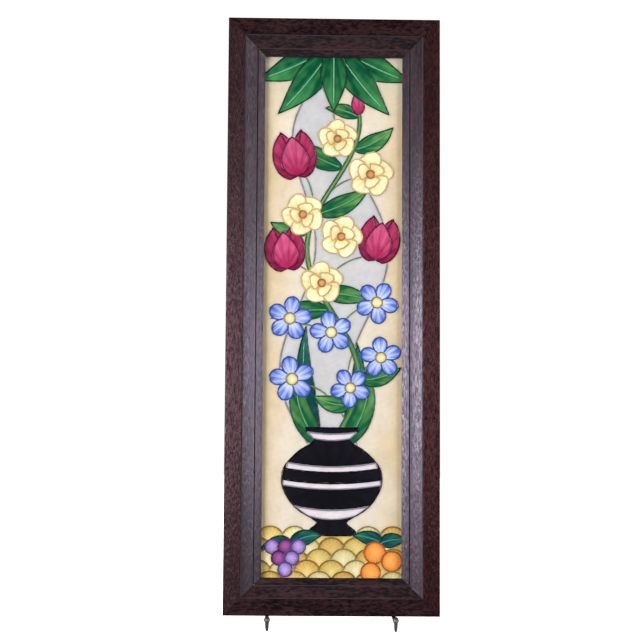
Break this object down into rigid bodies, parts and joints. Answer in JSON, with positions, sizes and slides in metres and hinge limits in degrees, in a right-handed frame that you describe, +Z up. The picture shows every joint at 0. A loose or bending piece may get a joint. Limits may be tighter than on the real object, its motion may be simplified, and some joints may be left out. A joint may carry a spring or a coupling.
{
  "type": "framed ceramic plaque",
  "caption": "Tall narrow glazed ceramic plaque with raised slip lines in a wide stained wooden frame, leaning on a bent wire display easel",
  "frame": {"origin": "on the floor, under the middle of the object's box", "axes": "+Z up, the picture faces -Y and leans back towards +Y, +X to the right as seen from the front"},
  "size_m": [0.154, 0.1495, 0.4327],
  "materials": {
    "frame_wood": "open grained hardwood, dark wine brown stain, satin",
    "plaque_ceramic": "coloured glazes between raised slip lines, glossy",
    "backing_board": "brown hardboard, smooth outer face",
    "fixing_steel": "zinc plated steel",
    "easel_wire": "drawn steel wire, grey, satin"
  },
  "bodies": {
    "root": {"frame_top_rail": "frame_wood", "frame_bottom_rail": "frame_wood", "frame_left_stile": "frame_wood", "frame_right_stile": "frame_wood", "ceramic_plaque": "plaque_ceramic", "backing_board": "backing_board", "retaining_clip_1": "fixing_steel", "retaining_clip_2": "fixing_steel", "retaining_clip_3": "fixing_steel", "retaining_clip_4": "fixing_steel", "clip_screw_1": "fixing_steel", "clip_screw_2": "fixing_steel", "clip_screw_3": "fixing_steel", "clip_screw_4": "fixing_steel", "sawtooth_hanger": "fixing_steel", "hanger_nail_1": "fixing_steel", "hanger_nail_2": "fixing_steel", "easel_left_leg": "easel_wire", "easel_right_leg": "easel_wire", "easel_left_strut": "easel_wire", "easel_right_strut": "easel_wire", "easel_upper_bar": "easel_wire", "easel_lower_bar": "easel_wire"}
  },
  "joints": []
}
